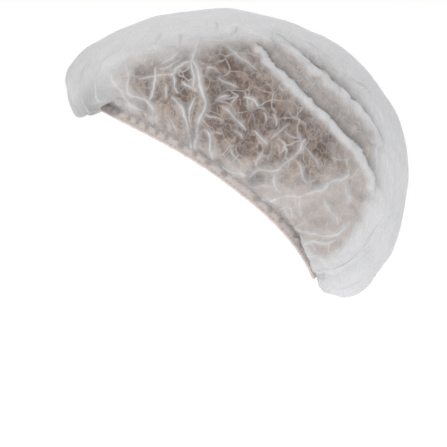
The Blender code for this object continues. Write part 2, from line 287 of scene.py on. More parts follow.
# Sharp folds over each side, y and z in millimetres: strength, half width, points.
creaseLines = (
    (1.0, 1.2, (0, 112), (-1, 104), (-3, 98), (-4, 94), (-2, 90), (0, 86), (0.5, 80), (1, 75), (3, 69),
     (3.5, 65), (2, 60), (0, 56), (-1, 50), (-1, 44), (-3, 38), (-2, 30)),
    (0.9, 0.9, (-3, 97), (-4.5, 91), (-4, 86), (-3.2, 81), (-4, 76), (-2, 73), (1, 71)),
    (0.6, 0.8, (-2.5, 70), (-4.5, 65), (-6, 59), (-6, 54), (-4.5, 48)),
    (1.0, 1.0, (-20, 70.5), (-16, 68), (-12.5, 64), (-10, 58.5), (-8, 52), (-7, 45), (-6.5, 40),
     (-5, 34), (-2, 28)),
    (1.0, 1.0, (-28, 92), (-29, 87), (-28.5, 82), (-30, 76), (-32, 70), (-34, 66)),
    (0.9, 1.0, (-48, 97), (-48.5, 89), (-46.5, 84), (-47.5, 78), (-46.5, 73.5), (-42, 70), (-38, 67.5),
     (-34, 66), (-31.5, 62), (-30, 57), (-31, 51), (-31, 46)),
    (0.9, 0.8, (-43, 80.5), (-36, 81.5), (-30, 83), (-23, 84), (-17, 84), (-15.5, 87), (-11.5, 89.5),
     (-8, 91.3), (-3, 91.5)),
    (0.8, 0.7, (-28, 88), (-23, 88), (-19, 89.5), (-15.5, 92), (-11, 93)),
    (0.45, 0.8, (-13, 99), (-18, 95.5), (-23, 92.5), (-28, 90)),
    (0.7, 0.8, (-17, 85), (-16.5, 79), (-15.5, 75), (-12, 71)),
    (0.6, 0.7, (-12, 80), (-8, 76.5), (-5, 74.5), (-2, 72.5)),
    (0.4, 0.7, (-21, 79), (-21.5, 73), (-22, 67)),
    (0.5, 1.3, (-61, 91), (-59.5, 84), (-57, 79), (-52, 73), (-46, 66), (-40, 61), (-35, 58), (-31, 56.5)),
    (0.6, 1.5, (-26, 114), (-28, 107), (-30.5, 100)),
    (0.6, 1.4, (-12, 113), (-13.5, 106), (-14.5, 100)),
    (0.35, 1.7, (-47, 110), (-50, 104), (-54, 99)),
    (0.45, 1.3, (11, 121), (10.5, 112)),
    (0.55, 1.3, (26, 119), (23, 112), (16, 106), (6, 107), (-1, 110)),
    (0.95, 1.0, (1, 50), (5.5, 47.5), (7.5, 43), (7.5, 36), (8.5, 30), (6.5, 24)),
    (0.75, 0.7, (11, 64), (16, 62.5), (20, 59.5), (24.5, 55), (28.5, 50.5), (31, 46)),
    (0.45, 0.7, (10, 84), (15, 80), (20, 78), (27, 75)),
    (0.85, 0.9, (16, 105), (21, 100), (25, 95.5), (29, 94), (34, 90.5), (40, 86)),
    (0.5, 0.8, (27, 70), (33, 69), (37, 66), (39.5, 61)),
    (0.45, 0.7, (34, 49), (39, 44.5), (46, 38)),
    (0.28, 1.2, (43, 38), (40, 33), (37.5, 27), (38, 21)),
    (0.4, 0.6, (3, 88), (10, 87), (15, 84)),
    (0.4, 0.6, (9, 66), (14, 69), (21, 70)),
    (0.4, 0.5, (22, 62), (21, 66), (26, 70)),
    (0.4, 0.5, (41, 61), (43.5, 57), (43, 52)),
    (0.45, 0.6, (44, 41), (50, 45), (57, 51), (62, 52)),
    (0.4, 0.5, (53, 49), (60, 44), (66, 42)),
    (0.4, 0.6, (20, 41), (21, 34), (25, 28), (30, 25)),
    (0.4, 0.6, (46, 60), (50, 54), (49, 48)),
    (0.35, 0.6, (56, 63), (61, 57), (66, 54)),
    (0.4, 0.5, (1, 61), (6, 57), (12, 56), (18, 52)),
    (0.4, 0.6, (-20, 58), (-17, 52), (-14, 44)),
    (0.4, 0.7, (21, 49), (26, 46), (29, 41)),
    (1.0, 1.0, (31, 13.5), (34, 17.5), (36.5, 21), (43, 21.3), (50, 21), (55, 26), (60, 29.5),
     (64, 33), (66.5, 38), (70, 43)),
    (0.6, 1.3, (13, 25), (20, 21), (27, 19.5), (33, 16)),
    (0.95, 1.3, (34, 2), (42, 2.5), (50, 4), (58, 5), (66, 5.2), (73, 6.5), (80, 9.5), (86, 15),
     (93, 16), (100, 20)),
    (0.6, 0.7, (65, 4.5), (66, -3), (67.5, -10)),
    (0.6, 0.7, (81, 5), (85, -3), (89.5, -10), (93, -17)),
    (0.45, 0.8, (51, -9), (54, -3.5), (58, -1.5), (61, -5), (62, -12)),
    (0.8, 1.2, (58, -16), (67, -19.5), (76, -20.5), (85, -22), (94, -19), (101, -11)),
    (0.5, 1.1, (65, -29), (74, -26), (83, -27), (93, -25)),
    (0.55, 1.0, (50, 21), (49, 16), (50.5, 11), (55, 6)),
    (0.5, 1.0, (34, 9), (42, 12), (50, 11)),
    (0.5, 0.8, (66, 38), (71, 34), (76, 28), (78, 21)),
    (0.4, 0.8, (61, 30), (66, 24), (68, 16), (74, 11)),
    (0.6, 0.9, (95, 12), (98, 5), (99, -4)),
    (0.8, 1.4, (119, 51), (117.5, 40), (117, 30), (116, 20), (115.5, 10), (113.5, 2), (109, -9)),
    (0.6, 1.2, (115, 53), (120, 45), (124, 37), (127, 29)),
    (0.6, 1.3, (105, -10), (101, -22), (96, -31), (89, -40)),
    (0.5, 1.0, (100, 86), (104, 80), (110, 77), (116, 70)),
    (0.45, 1.1, (66, 108), (74, 104), (84, 97), (90, 92)),
)

# Tucks over that side: a raised band whose upper edge drops sharply.
tuckLines = (
    (1.0, (34, 108), (42, 100), (46, 93), (50, 88), (57, 82), (63, 76), (69, 71), (73, 66), (80, 60),
     (84, 57), (90, 49.5), (95, 44), (100, 40), (104, 36), (107, 31), (110, 25), (114, 20), (115, 12),
     (115, 3)),
    (0.85, (44, 113), (54, 109), (60, 103), (66, 97.5), (70, 94), (76, 88), (82, 84.5), (85, 80), (90, 76.5),
     (95, 73), (99, 68), (104, 64.5), (108, 59), (112, 55), (117, 49), (120, 42), (123, 34)),
)
tuck = {"height": 2.2, "drop": 0.9, "width": 5.0}
foldLayers = 4


def segmentField(line, y, z):
    # distance to a line through points, the side of it (plus is above and behind), and the way along it
    best = np.full(y.shape, 1e9)
    side = np.zeros(y.shape)
    way = np.zeros(y.shape)
    lengths = [math.hypot(b[0] - a[0], b[1] - a[1]) for a, b in zip(line, line[1:])]
    total, done = sum(lengths), 0.0
    for (a, b), length in zip(zip(line, line[1:]), lengths):
        runY, runZ = (b[0] - a[0]) / length, (b[1] - a[1]) / length
        along = np.clip((y - a[0]) * runY + (z - a[1]) * runZ, 0.0, length)
        offY, offZ = y - a[0] - along * runY, z - a[1] - along * runZ
        away = np.hypot(offY, offZ)
        nearer = away < best
        best = np.where(nearer, away, best)
        side = np.where(nearer, np.sign(offY * -runZ + offZ * runY), side)
        way = np.where(nearer, (done + along) / total, way)
        done += length
    return best, side, way


def smoothLine(points):
    # a rounder line through the same points
    fine = []
    pts = [points[0], *points, points[-1]]
    for k in range(1, len(pts) - 2):
        near = [np.array(pts[k + i], float) for i in (-1, 0, 1, 2)]
        for f in (0.0, 0.33, 0.67):
            fine.append(tuple(curveAt(*near, f)))
    fine.append(tuple(map(float, points[-1])))
    return fine


buckling = {
    "quality": 6,
    "mass": 0.15,
    "tension_stiffness": 12,
    "compression_stiffness": 12,
    "shear_stiffness": 4,
    "bending_stiffness": 0.04,
    "air_damping": 2,
    "pin_stiffness": 1.2,
    "shrink_min": -crown["slack"],
    "shrink_max": -crown["slack"],
}
simScale = 10     # the trial sheet is this much larger, because the solver suits large cloth


def clothBuckle():
    # a coarser sheet with some slack, held at its edge and loosely elsewhere, buckles as thin cloth does
    columns, rows = crown["simColumns"], crown["simRows"]
    angle, grid, climb, top = crownGrid(columns, rows)
    start = grid + gridNormals(grid, top) * (0.35 * noiseField(grid, 9.0, 3))[..., None]
    points = np.concatenate([start.reshape(-1, 3), top[None]]) * simScale
    sheet = meshObject("trialSheet", points, ringFaces(rows, columns, True))
    held = sheet.vertex_groups.new(name="held")
    tight = tightness(grid).ravel()
    for index in range(rows * columns + 1):
        row = index // columns
        if row < 5 or row > rows - 5:
            held.add([index], 1.0, "REPLACE")
        else:
            held.add([index], float(0.10 + 0.25 * tight[index]), "REPLACE")
    cloth = sheet.modifiers.new("cloth", "CLOTH")
    for name, value in buckling.items():
        setattr(cloth.settings, name, value)
    cloth.settings.vertex_group_mass = "held"
    cloth.settings.effector_weights.gravity = 0.05
    cloth.collision_settings.use_collision = False
    cloth.collision_settings.use_self_collision = False
    cloth.point_cache.frame_start = 1
    cloth.point_cache.frame_end = crown["simFrames"]
    for number in range(1, crown["simFrames"] + 1):
        bpy.context.scene.frame_set(number)
    applyModifier(sheet, cloth)
    moved = np.empty(len(sheet.data.vertices) * 3)
    sheet.data.vertices.foreach_get("co", moved)
    bpy.data.objects.remove(sheet)
    bpy.context.scene.frame_set(1)
    moved = moved.reshape(-1, 3)[:-1].reshape(rows, columns, 3) / mm / simScale
    shift = ((moved - grid) * gridNormals(grid, top)).sum(-1)
    shift -= smoothed(shift, 14, 8)     # the form stays, and only the wrinkles are kept
    moves = np.abs(shift)
    print("cloth moved", moves.mean().round(2), "mm on average, at most", moves.max().round(2))
    return np.clip(shift * (0.22 + 0.55 * tightness(grid)), -crown["mostMove"], crown["mostMove"])


def smoothed(values, columns, rows):
    # a running mean over this many columns and rows to each side
    wide = sum(np.roll(values, step, axis=1) for step in range(-columns, columns + 1)) / (2 * columns + 1)
    padded = np.concatenate([wide[:1].repeat(rows, 0), wide, wide[-1:].repeat(rows, 0)])
    return sum(padded[step:step + len(values)] for step in range(2 * rows + 1)) / (2 * rows + 1)


# Where the cloth lies close over the side, and where it looks darkest, y and z in millimetres. Over these the
# colour is painted darker and warmer, as painted shade between the layers.
closeZone = (
    (-56, 74), (-48, 90), (-22, 97), (0, 101), (18, 104), (40, 105), (62, 103), (80, 93), (97, 78), (112, 58),
    (118, 36), (116, 6), (105, -16), (95, -30), (84, -38), (74, -32), (60, -16), (40, 0), (20, 15),
    (0, 29), (-25, 45), (-44, 58),
)
darkZone = (
    (-26, 58), (-44, 70), (-46, 84), (-28, 93), (-6, 97), (18, 103), (34, 100), (44, 86), (58, 71),
    (76, 54), (88, 42), (90, 24), (74, 17), (54, 20), (36, 23), (14, 31), (-8, 41), (-18, 48),
)


def insideZone(zone, y, z):
    # how far inside an outline each place is, less than 0 outside it
    inside = np.zeros(y.shape, bool)
    for (ay, az), (by, bz) in zip(zone, zone[1:] + zone[:1]):
        if az != bz:
            crossing = (az > z) != (bz > z)
            inside ^= crossing & (y < ay + (z - az) * (by - ay) / (bz - az))
    away = segmentField(zone + zone[:1], y, z)[0]
    return np.where(inside, away, -away)


def flankOf(grid, low, high):
    return ease((np.abs(grid[..., 0]) - low) / (high - low))


def tightness(grid):
    # 1 where the cloth lies close over the sides, 0 in the loose fullness in front, on top and behind
    y, z = grid[..., 1], grid[..., 2]
    softer = 16 + 14 * ease((40 - y) / 60) * ease((z - 50) / 40) - 8 * ease((-z - 5) / 20)
    return ease((insideZone(closeZone, y, z) + softer * 0.6) / softer) * flankOf(grid, 14, 42)


# how dark the painted shade over the side is at each place
def darkness(grid):
    y, z = grid[..., 1], grid[..., 2]
    return ease((insideZone(darkZone, y, z) + 16) / 30) * flankOf(grid, 20, 50)


def gapBetween(first, second):
    return min(math.dist(a, b) for a in smoothLine(first) for b in smoothLine(second))


def layeredCreases():
    # lines that run close together go to different layers, so that each layer has one nearest line
    layers = [[] for _ in range(foldLayers)]
    for row in creaseLines:
        room = [min((gapBetween(row[2:], other[2:]) for other in layer), default=99.0) for layer in layers]
        layers[room.index(max(room))].append(row)
    return layers


def upsample(values, rows, columns):
    # smooth values of a coarse grid at the places of a finer one
    r = np.linspace(0, values.shape[0] - 1, rows)
    c = np.arange(columns) * values.shape[1] / columns

    def cubic(data, place, wrap):
        k = np.floor(place).astype(int)
        f = place - k
        count = data.shape[0]
        pick = [(k + i) % count if wrap else np.clip(k + i, 0, count - 1) for i in (-1, 0, 1, 2)]
        return curveAt(*(data[p] for p in pick), f[:, None])

    return cubic(cubic(values, r, False).T, c, True).T


def gatherWave(angle, order):
    # rounded pleats with sharp valleys between them, unevenly wide
    drift = 1.1 * np.sin(5 * angle + 0.7) + 0.8 * np.sin(11 * angle + 2.1) + 0.4 * np.sin(23 * angle + 0.4)
    phase = (crown["gathers"] * angle + drift) / order
    return np.abs(np.sin(phase / 2)) ** 0.8 - 0.64


def pleatsAt(angle, climb, tight):
    # gathers: many small pleats at the hem, fewer and softer ones further up
    pleats = np.zeros(climb.shape)
    for order, height, reach, seed in zip((1, 2, 4), crown["gatherHeights"], crown["gatherReach"], (1, 2, 3)):
        uneven = 0.75 + 0.45 * np.sin(angle * (9 + seed) + seed) * np.sin(angle * (17 - seed) + 2 * seed)
        fade = ease((climb - 1.5) / (4.0 * order)) * np.exp(-np.maximum(climb - 5.0 * order, 0) / reach)
        pleats += height * gatherWave(angle + 0.01 * seed, order) * uneven * fade
    return pleats * (1 - 0.65 * tight * ease((climb - 8) / 16))


def crumplesAt(grid, climb, tight):
    # ridged noise at two sizes where the cloth lies close, and the loose fullness drawn in a little
    lift = np.zeros(climb.shape)
    for size, height, seed in crown["crumples"]:
        ridges = 1 - np.minimum(np.abs(noiseField(grid, size, seed)) * 3.2, 1.0)
        lift += height * (ridges**1.5 - 0.3) * tight * ease((climb - 4) / 10)
    return lift - crown["drawIn"] * (1 - tight) * ease((climb - 12) / 20)


def sideFolds(grid, uneven):
    # folds and tucks are given for one side and repeated, shifted a little, on the other
    shape = grid.shape[:2]
    lift = np.zeros(shape)
    foldNear, foldSide = np.zeros((foldLayers, *shape)), np.full((foldLayers, *shape), 9.0)
    tuckNear, tuckSide = np.zeros(shape), np.full(shape, 12.0)
    wobbleY, wobbleZ = noiseField(grid, 12.0, 5) * 1.1, noiseField(grid, 12.0, 6) * 1.1
    for sign, (shiftY, shiftZ) in ((1, (0.0, 0.0)), (-1, crown["farShift"])):
        flank = ease((sign * grid[..., 0] - 3) / 12)
        y, z = grid[..., 1] - shiftY + wobbleY, grid[..., 2] - shiftZ + wobbleZ
        for number, layer in enumerate(layeredCreases()):
            for strength, half, *line in layer:
                away, side, way = segmentField(smoothLine(line), y, z)
                taper = min(0.28, 9.0 / sum(math.dist(a, b) for a, b in zip(line, line[1:])))
                ends = ease(way / taper) * ease((1 - way) / taper)
                soft = 1.7 if half > 1.25 else 0.85
                relief = np.exp(-np.hypot(away, 1.0) / 2.6) * 1.45 - 0.12 * np.exp(-((away / 7) ** 2))
                lift += soft * strength * ends * flank * relief
                near = strength * (0.35 + 0.65 * ends) * (ends > 0) * flank * np.exp(-((away / 4.5) ** 2))
                thick = half * (0.35 + 0.65 * ends) * (1 + 0.45 * uneven)
                nearer = near > foldNear[number]
                foldNear[number] = np.where(nearer, near * ease(ends * 6), foldNear[number])
                foldSide[number] = np.where(nearer, np.clip(away * side / thick, -9, 9), foldSide[number])
        for height, *line in tuckLines:
            away, side, way = segmentField(smoothLine(line), y, z)
            signed = away * side
            ends = ease(way / 0.10) * ease((1 - way) / 0.10) * flank * height
            ramp = np.exp(-((np.minimum(signed, 0) / tuck["width"]) ** 2)) * (signed <= 0.5)
            gap = np.exp(-(((signed - 2.2) / 2.2) ** 2)) * (signed > 0.5)
            lift += ends * (tuck["height"] * ramp - tuck["drop"] * gap)
            near = ends * np.exp(-((away / 9.0) ** 2))
            nearer = near > tuckNear
            tuckNear = np.where(nearer, near, tuckNear)
            tuckSide = np.where(nearer, np.clip(signed, -12, 12), tuckSide)
    fields = {"tuckNear": tuckNear, "tuckSide": tuckSide}
    for number in range(foldLayers):
        fields["foldNear" + str(number)] = foldNear[number]
        fields["foldSide" + str(number)] = foldSide[number]
    return lift, fields


def longFolds(angle, grid, climb, tight, uneven):
    # long folds that run up from the hem through the fullness in front and behind
    count = crown["longFolds"]
    draw = np.random.RandomState(crown["longFoldSeed"])
    power = draw.uniform(0.2, 1.0, count)
    length = draw.uniform(*crown["longFoldLength"], count)
    sway = 0.030 * noiseField(grid, 45.0, 8) + 0.010 * noiseField(grid, 18.0, 9)
    turn = count * (angle + 0.02 * np.sin(7 * angle) + sway) / (2 * math.pi)
    number = np.round(turn).astype(int)
    pitch = np.linalg.norm(np.roll(grid, -1, axis=1) - grid, axis=-1) * len(angle)
    apart = (turn - number) / count * pitch
    number %= count
    fade = ease((climb - 2) / 7) * ease((length[number] - climb) / (0.6 * length[number]))
    strength = power[number] * fade * (1 - tight)
    thick = (0.4 + 0.6 * strength) * (1 + 0.45 * uneven)
    lift = crown["longFoldHeight"] * strength * (np.exp(-np.hypot(apart, 1.0) / 2.8) * 1.45 - 0.2)
    return lift, {
        "foldNear" + str(foldLayers): strength * np.exp(-((apart / 4.5) ** 2)),
        "foldSide" + str(foldLayers): np.clip(apart / thick, -9, 9),
    }


def buildCrown():
    columns, rows = crown["columns"], crown["rows"]
    angle, grid, climb, top = crownGrid(columns, rows)
    normals = gridNormals(grid, top)
    print("edge to top, in front, at the side and behind:", climb[-1, ::columns // 4].round(0))
    tight = tightness(grid)
    uneven = noiseField(grid, 8.0, 7)
    pleats = pleatsAt(angle, climb, tight)
    lift = pleats + crumplesAt(grid, climb, tight)
    lift += upsample(clothBuckle(), rows, columns)
    sideLift, fields = sideFolds(grid, uneven)
    longLift, longFields = longFolds(angle, grid, climb, tight, uneven)
    lift += sideLift + longLift

    # what the material reads: how close the cloth lies, how dark its painted shade is there, how dense it is
    # with painted shade on the low front, and where its folds run
    fields.update(longFields)
    fields["tight"] = tight
    fields["dark"] = darkness(grid)
    # the cloth is denser near the hem, and painted shade is added on the low front under the fullness
    brimShade = 1.35 * ease((-45 - grid[..., 1]) / 30) * ease((52 - climb) / 34)
    fields["denseAndShaded"] = 0.45 * np.exp(-climb / 16) + brimShade
    fields["pleat"] = pleats / crown["pleatScale"]
    fields["climb"] = climb * mm

    grid = grid + normals * lift[..., None]
    top = top + normals[-1].mean(0) * lift[-1].mean()
    points = np.concatenate([grid.reshape(-1, 3), top[None]])
    obj = meshObject("crown_cloth", points, ringFaces(rows, columns, True))
    for name, values in fields.items():
        setAttribute(obj, name, np.append(values.ravel(), values[-1].mean()))
    wall = obj.modifiers.new("wall", "SOLIDIFY")
    wall.thickness = crown["wall"] * mm
    wall.offset = 0.0
    applyModifier(obj, wall)
    return obj


hem = {
    "columns": 720,
    "inner": 0.85,
    "wall": 0.4,
    "pucker": 0.75,
    "stitchPitch": 3.1,
    "stitchLength": 2.0,
    "stitchUp": 2.0,
    "threadRadius": 0.22,
    "colour": (0.83, 0.75, 0.71, 1.0),
    "cellColour": (0.36, 0.285, 0.255, 1.0),
    "edgeColour": (0.84, 0.70, 0.65, 1.0),
    # the thread's dark grey-brown is painted shadow of the stitches, not its own colour
    "threadShadowDark": (0.26, 0.22, 0.21, 1.0),
    "threadShadowLight": (0.42, 0.37, 0.35, 1.0),
}


def buildHem():
    # the strip folded to a U with its mouth up, and puckered by the pleats that it holds
    columns = hem["columns"]
    angle = np.linspace(0.0, 2 * math.pi, columns, endpoint=False)
    rim, out, up = hemFrames(angle)
    inner, outer, height = hem["inner"], hem["inner"] + hem["wall"], form["hemHeight"]
    outline = [(outer * math.cos(a), 0.95 + 0.95 * math.sin(a)) for a in np.radians(np.linspace(-90, 0, 5))]
    outline += [(outer, u) for u in (2.0, 3.0, 4.2, 5.2)] + [(outer - 0.15, 6.1), (outer - 0.5, height - 0.1)]
    outline += [(inner - 0.4, height - 0.05), (inner - 0.1, 6.0)]
    outline += [(inner, u) for u in (5.2, 4.2, 3.0, 2.0, 1.3)] + [(0.0, 0.55)]
    section = outline + [(-o, u) for o, u in reversed(outline[1:-1])]
    wave = gatherWave(angle, 1)
    fine = 0.25 * np.sin(160 * angle + 2 * np.sin(19 * angle))
    rows = []
    for o, u in section:
        high = np.clip((u - 1.2) / 5.0, 0.0, 1.0)
        push = hem["pucker"] * (wave + 0.64) * math.copysign(1.0, o) * high * (1.3 - high) * 2.2 if o else 0.0
        nip = -0.28 * math.exp(-(((u - hem["stitchUp"]) / 0.6) ** 2)) * math.copysign(1.0, o) if o else 0.0
        drop = 0.25 * wave * (1 - high) + fine * 0.4
        edge = fine * 0.5 * high
        rows.append(toWorld(rim + out * (o + push + nip)[:, None] + up * (u + drop + edge)[:, None]) if o else
                    toWorld(rim + up * (u + drop)[:, None]))
    obj = meshObject("hem_cloth", np.concatenate(rows), ringFaces(len(section), columns, False))
    setAttribute(obj, "level", np.repeat([u for o, u in section], columns) * mm)
    setAttribute(obj, "pleat", np.tile(wave / 0.5, len(section)))
    return obj


def buildStitches():
    # a short thread for each stitch on both faces of the hem, each a small capsule along the rim
    fine = np.linspace(0.0, 2 * math.pi, 4001)
    run = np.linalg.norm(np.diff(rimAt(fine), axis=0), axis=-1)
    reach = np.concatenate([[0.0], np.cumsum(run)])
    count = int(reach[-1] / hem["stitchPitch"])
    points, faces = [], []
    for number in range(count):
        middle = (number + 0.5) / count * reach[-1]
        stops = middle + np.linspace(-0.5, 0.5, 6) * hem["stitchLength"]
        angle = np.interp(np.mod(stops, reach[-1]), reach, fine)
        rim, out, up = hemFrames(angle)
        for face in (1, -1):
            arch = np.sin(np.linspace(0, math.pi, 6))
            lift = face * (hem["inner"] + hem["wall"] - 0.28 + 0.32 * arch)
            tilt = 0.12 * face * np.linspace(-1, 1, 6)
            middles = rim + out * lift[:, None] + up * (hem["stitchUp"] + tilt)[:, None]
            first = len(points)
            for k in range(6):
                size = hem["threadRadius"] * (0.45 if k in (0, 5) else 1.0)
                for corner in range(6):
                    turn = 2 * math.pi * corner / 6
                    points.append(middles[k] + out[k] * size * math.cos(turn) + up[k] * size * math.sin(turn))
            for k in range(5):
                for corner in range(6):
                    a, b = first + k * 6 + corner, first + k * 6 + (corner + 1) % 6
                    faces.append((a, b, b + 6, a + 6))
            faces.append(tuple(first + corner for corner in reversed(range(6))))
            faces.append(tuple(first + 30 + corner for corner in range(6)))
    obj = meshObject("hem_stitches", toWorld(np.array(points)), faces)
    bpy.ops.object.select_all(action="DESELECT")
    obj.select_set(True)
    bpy.context.view_layer.objects.active = obj
    bpy.ops.object.mode_set(mode="EDIT")
    bpy.ops.mesh.select_all(action="SELECT")
    bpy.ops.mesh.normals_make_consistent(inside=False)
    bpy.ops.object.mode_set(mode="OBJECT")
    return obj



def addNode(tree, kind, settings=None, values=None):
    node = tree.nodes.new(kind)
    for name, value in (settings or {}).items():
        setattr(node, name, value)
    for name, value in (values or {}).items():
        socket = node.inputs[name]
        if isinstance(value, Wire):
            tree.links.new(value.socket, socket)
        else:
            socket.default_value = value
    return node


class Wire:
    # one socket, so that shader maths reads as sums
    def __init__(self, tree, socket):
        self.tree, self.socket = tree, socket

    def maths(self, operation, first, second=0.0, clamp=False):
        settings = {"operation": operation, "use_clamp": clamp}
        node = addNode(self.tree, "ShaderNodeMath", settings, {0: first, 1: second})
        return Wire(self.tree, node.outputs[0])

    def __add__(self, other):
        return self.maths("ADD", self, other)

    def __radd__(self, other):
        return self.maths("ADD", other, self)

    def __sub__(self, other):
        return self.maths("SUBTRACT", self, other)

    def __rsub__(self, other):
        return self.maths("SUBTRACT", other, self)

    def __mul__(self, other):
        return self.maths("MULTIPLY", self, other)

    def __rmul__(self, other):
        return self.maths("MULTIPLY", other, self)

    def __pow__(self, other):
        return self.maths("POWER", self, other)

    def most(self, other):
        return self.maths("MAXIMUM", self, other)

    def absolute(self):
        return self.maths("ABSOLUTE", self)

    def clamped(self):
        return self.maths("ADD", self, 0.0, True)

    def between(self, low, high):
        node = addNode(
            self.tree, "ShaderNodeMapRange", {"interpolation_type": "SMOOTHSTEP"},
            {"Value": self, "From Min": low, "From Max": high, "To Min": 0.0, "To Max": 1.0},
        )
        return Wire(self.tree, node.outputs[0])


def wire(node, output=0):
    return Wire(node.id_data, node.outputs[output])


def newMaterial(name):
    made = bpy.data.materials.new(name)
    made.use_nodes = True
    made.node_tree.nodes.clear()
    return made, made.node_tree


def mixColours(tree, factor, first, second):
    node = addNode(tree, "ShaderNodeMix", {"data_type": "RGBA"}, {"Factor": factor, 6: first, 7: second})
    return Wire(tree, node.outputs[2])


def objectPoint(tree, stretch=(1, 1, 1), turn=(0, 0, 0)):
    place = addNode(tree, "ShaderNodeTexCoord")
    mapping = addNode(
        tree, "ShaderNodeMapping", None,
        {"Vector": Wire(tree, place.outputs["Object"]), "Scale": stretch, "Rotation": turn},
    )
    return wire(mapping)


def noiseAt(tree, point, scale, detail=3.0, rough=0.5, warp=0.0):
    node = addNode(
        tree, "ShaderNodeTexNoise", None,
        {"Vector": point, "Scale": scale, "Detail": detail, "Roughness": rough, "Distortion": warp},
    )
    return Wire(tree, node.outputs["Fac"])


def fibresAt(tree, scale, turns):
    # drawn-out noise in several directions, as loose fibres lie in the web
    total = None
    for turn in turns:
        point = objectPoint(tree, (1.0, 1.0, 0.09), turn)
        strand = noiseAt(tree, point, scale, 2.0, 0.6, 0.4).between(0.52, 0.70)
        total = strand if total is None else total.most(strand)
    return total


def warpedPoint(tree, point, scale, amount):
    node = addNode(tree, "ShaderNodeTexNoise", None, {"Vector": point, "Scale": scale, "Detail": 2.0})
    shift = addNode(
        tree, "ShaderNodeVectorMath", {"operation": "MULTIPLY_ADD"},
        {0: Wire(tree, node.outputs["Color"]), 1: (amount, amount, amount), 2: point},
    )
    return wire(shift)


def crackleAt(tree, point, scale, width):
    feature = {"feature": "DISTANCE_TO_EDGE"}
    node = addNode(tree, "ShaderNodeTexVoronoi", feature, {"Vector": point, "Scale": scale})
    return 1 - wire(node).between(0.0, width)


nonwoven = {
    "colour": (0.85, 0.85, 0.86, 1.0),
    # the pale and the deep end of the painted shade where the cloth lies close
    "closeShadePale": (0.54, 0.435, 0.370, 1.0),
    "closeShadeDeep": (0.145, 0.096, 0.074, 1.0),
    # the grey that the web's random tone and the painted shade of tucks, gather valleys and low front turn
    # towards
    "webToneAndShadeColour": (0.33, 0.315, 0.305, 1.0),
    "glowColour": (0.76, 0.76, 0.77, 1.0),
    "opacity": 0.475,
    "closeOpacity": 0.48,
    "creaseOpacity": 0.38,
    "glow": 0.42,
    "sheen": 0.25,
    "shine": 0.25,
    "fibreTurns": ((0, 0, 0), (1.05, 0.3, 0), (2.1, -0.2, 0.5), (0.5, 1.2, 1.0)),
    "fibreScale": 900.0,
    "netScale": 75.0,
    "fineNetScale": 170.0,
    "bondScale": 520.0,
}


def attributeOf(tree, name):
    node = addNode(tree, "ShaderNodeAttribute", {"attribute_name": name})
    return Wire(tree, node.outputs["Fac"])


def finishSheet(tree, colour, roughness, normal, opacity, glow):
    shader = addNode(
        tree, "ShaderNodeBsdfPrincipled", None,
        {
            "Base Color": colour, "Roughness": roughness, "Normal": normal,
            "Sheen Weight": nonwoven["sheen"], "Specular IOR Level": nonwoven["shine"],
        },
    )
    behind = addNode(
        tree, "ShaderNodeBsdfTranslucent", None, {"Color": nonwoven["glowColour"], "Normal": normal},
    )
    lit = addNode(tree, "ShaderNodeMixShader", None, {0: glow, 1: wire(shader), 2: wire(behind)})
    clear = addNode(tree, "ShaderNodeBsdfTransparent")
    whole = addNode(tree, "ShaderNodeMixShader", None, {0: opacity, 1: wire(clear), 2: wire(lit)})
    addNode(tree, "ShaderNodeOutputMaterial", None, {"Surface": wire(whole)})


